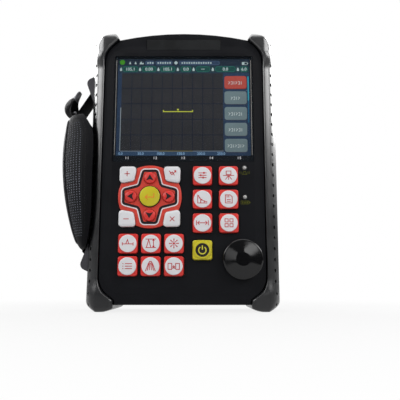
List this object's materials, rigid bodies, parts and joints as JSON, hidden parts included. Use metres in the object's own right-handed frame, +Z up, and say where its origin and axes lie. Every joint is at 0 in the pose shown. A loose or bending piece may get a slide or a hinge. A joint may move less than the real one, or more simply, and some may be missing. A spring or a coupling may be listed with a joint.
{
  "type": "ultrasonic flaw detector",
  "caption": "Hand-held ultrasonic test instrument: upright case in rubber bumpers, colour display, keypad, jog knob, probe sockets on top, side hand strap and rear tilt stand.",
  "frame": {"origin": "middle of the footprint of the whole device, strap and knob included, on the surface it stands on", "axes": "+Z up the height of the device, +X to the right of someone facing the display, +Y from the display to the back"},
  "size_m": [0.1914, 0.0688, 0.2504],
  "materials": {
    "case": "fine moulded texture, satin",
    "rubber": "satin elastomer",
    "gasket": "matt",
    "plate": "smooth film",
    "window": "clear acrylic",
    "display": "display glass",
    "red_key": "gloss epoxy",
    "white_key": "gloss epoxy",
    "yellow_key": "gloss epoxy",
    "cursor": "gloss epoxy",
    "knob": "spun gloss",
    "lamp": "clear lens",
    "steel": "nickel plated",
    "board": "solder mask",
    "plastic": "moulded",
    "battery": "shrink sleeve",
    "leather": "soft grain",
    "webbing": "woven nylon"
  },
  "bodies": {
    "root": {"alarm_lamp": "lamp", "battery_door": "plastic", "battery_pack": "battery", "buzzer": "plastic", "case_gasket": "gasket", "charge_lamp": "lamp", "charge_socket": "plastic", "cursor_plate": "cursor", "data_socket": "plastic", "display_module": "display", "display_window": "window", "front_case": "case", "jog_encoder": "steel", "keypad_board": "board", "left_bumper": "rubber", "lower_strap_lug": "plastic", "lower_webbing": "webbing", "main_board": "board", "name_plate": "plate", "probe_socket_a": "steel", "probe_socket_b": "steel", "pulser_shield": "steel", "rear_case": "case", "right_bumper": "rubber", "stand_pin": "steel", "strap_pad": "leather", "strap_rivet": "steel", "strap_tail": "leather", "upper_strap_lug": "plastic", "upper_webbing": "webbing"},
    "jog": {"jog_knob": "knob", "jog_shaft": "steel"},
    "stand": {"tilt_stand": "plastic"},
    "cancel_key": {"cancel_key": "white_key"},
    "compare_key": {"compare_key": "red_key"},
    "curve_key": {"curve_key": "red_key"},
    "down_key": {"down_key": "red_key"},
    "echo_key": {"echo_key": "white_key"},
    "enter_key": {"enter_key": "yellow_key"},
    "envelope_key": {"envelope_key": "red_key"},
    "freeze_key": {"freeze_key": "red_key"},
    "gain_down_key": {"gain_down_key": "white_key"},
    "gain_up_key": {"gain_up_key": "white_key"},
    "gate_key": {"gate_key": "red_key"},
    "left_key": {"left_key": "red_key"},
    "memory_key": {"memory_key": "red_key"},
    "menu_key": {"menu_key": "red_key"},
    "peak_key": {"peak_key": "red_key"},
    "power_key": {"power_key": "yellow_key"},
    "probe_key": {"probe_key": "red_key"},
    "range_key": {"range_key": "red_key"},
    "right_key": {"right_key": "red_key"},
    "set_key": {"set_key": "red_key"},
    "tools_key": {"tools_key": "red_key"},
    "up_key": {"up_key": "red_key"}
  },
  "joints": [
    {"name": "cancel_press", "type": "slide", "parent": "root", "child": "cancel_key", "axis": [0, 1, 0], "range_m": [0, 0.0012], "stiffness_N_per_m": 300},
    {"name": "compare_press", "type": "slide", "parent": "root", "child": "compare_key", "axis": [0, 1, 0], "range_m": [0, 0.0012], "stiffness_N_per_m": 300},
    {"name": "curve_press", "type": "slide", "parent": "root", "child": "curve_key", "axis": [0, 1, 0], "range_m": [0, 0.0012], "stiffness_N_per_m": 300},
    {"name": "down_press", "type": "slide", "parent": "root", "child": "down_key", "axis": [0, 1, 0], "range_m": [0, 0.0012], "stiffness_N_per_m": 300},
    {"name": "echo_press", "type": "slide", "parent": "root", "child": "echo_key", "axis": [0, 1, 0], "range_m": [0, 0.0012], "stiffness_N_per_m": 300},
    {"name": "enter_press", "type": "slide", "parent": "root", "child": "enter_key", "axis": [0, 1, 0], "range_m": [0, 0.0012], "stiffness_N_per_m": 300},
    {"name": "envelope_press", "type": "slide", "parent": "root", "child": "envelope_key", "axis": [0, 1, 0], "range_m": [0, 0.0012], "stiffness_N_per_m": 300},
    {"name": "freeze_press", "type": "slide", "parent": "root", "child": "freeze_key", "axis": [0, 1, 0], "range_m": [0, 0.0012], "stiffness_N_per_m": 300},
    {"name": "gain_down_press", "type": "slide", "parent": "root", "child": "gain_down_key", "axis": [0, 1, 0], "range_m": [0, 0.0012], "stiffness_N_per_m": 300},
    {"name": "gain_up_press", "type": "slide", "parent": "root", "child": "gain_up_key", "axis": [0, 1, 0], "range_m": [0, 0.0012], "stiffness_N_per_m": 300},
    {"name": "gate_press", "type": "slide", "parent": "root", "child": "gate_key", "axis": [0, 1, 0], "range_m": [0, 0.0012], "stiffness_N_per_m": 300},
    {"name": "left_press", "type": "slide", "parent": "root", "child": "left_key", "axis": [0, 1, 0], "range_m": [0, 0.0012], "stiffness_N_per_m": 300},
    {"name": "memory_press", "type": "slide", "parent": "root", "child": "memory_key", "axis": [0, 1, 0], "range_m": [0, 0.0012], "stiffness_N_per_m": 300},
    {"name": "menu_press", "type": "slide", "parent": "root", "child": "menu_key", "axis": [0, 1, 0], "range_m": [0, 0.0012], "stiffness_N_per_m": 300},
    {"name": "peak_press", "type": "slide", "parent": "root", "child": "peak_key", "axis": [0, 1, 0], "range_m": [0, 0.0012], "stiffness_N_per_m": 300},
    {"name": "power_press", "type": "slide", "parent": "root", "child": "power_key", "axis": [0, 1, 0], "range_m": [0, 0.0012], "stiffness_N_per_m": 300},
    {"name": "probe_press", "type": "slide", "parent": "root", "child": "probe_key", "axis": [0, 1, 0], "range_m": [0, 0.0012], "stiffness_N_per_m": 300},
    {"name": "range_press", "type": "slide", "parent": "root", "child": "range_key", "axis": [0, 1, 0], "range_m": [0, 0.0012], "stiffness_N_per_m": 300},
    {"name": "right_press", "type": "slide", "parent": "root", "child": "right_key", "axis": [0, 1, 0], "range_m": [0, 0.0012], "stiffness_N_per_m": 300},
    {"name": "set_press", "type": "slide", "parent": "root", "child": "set_key", "axis": [0, 1, 0], "range_m": [0, 0.0012], "stiffness_N_per_m": 300},
    {"name": "tools_press", "type": "slide", "parent": "root", "child": "tools_key", "axis": [0, 1, 0], "range_m": [0, 0.0012], "stiffness_N_per_m": 300},
    {"name": "up_press", "type": "slide", "parent": "root", "child": "up_key", "axis": [0, 1, 0], "range_m": [0, 0.0012], "stiffness_N_per_m": 300},
    {"name": "jog_turn", "type": "hinge", "parent": "root", "child": "jog", "pos_m": [0.06275, -0.02555, 0.0421], "axis": [0, 1, 0], "continuous": true},
    {"name": "stand_swing", "type": "hinge", "parent": "root", "child": "stand", "pos_m": [0.01375, 0.03075, 0.196], "axis": [1, 0, 0], "range_deg": [0, 60]}
  ]
}
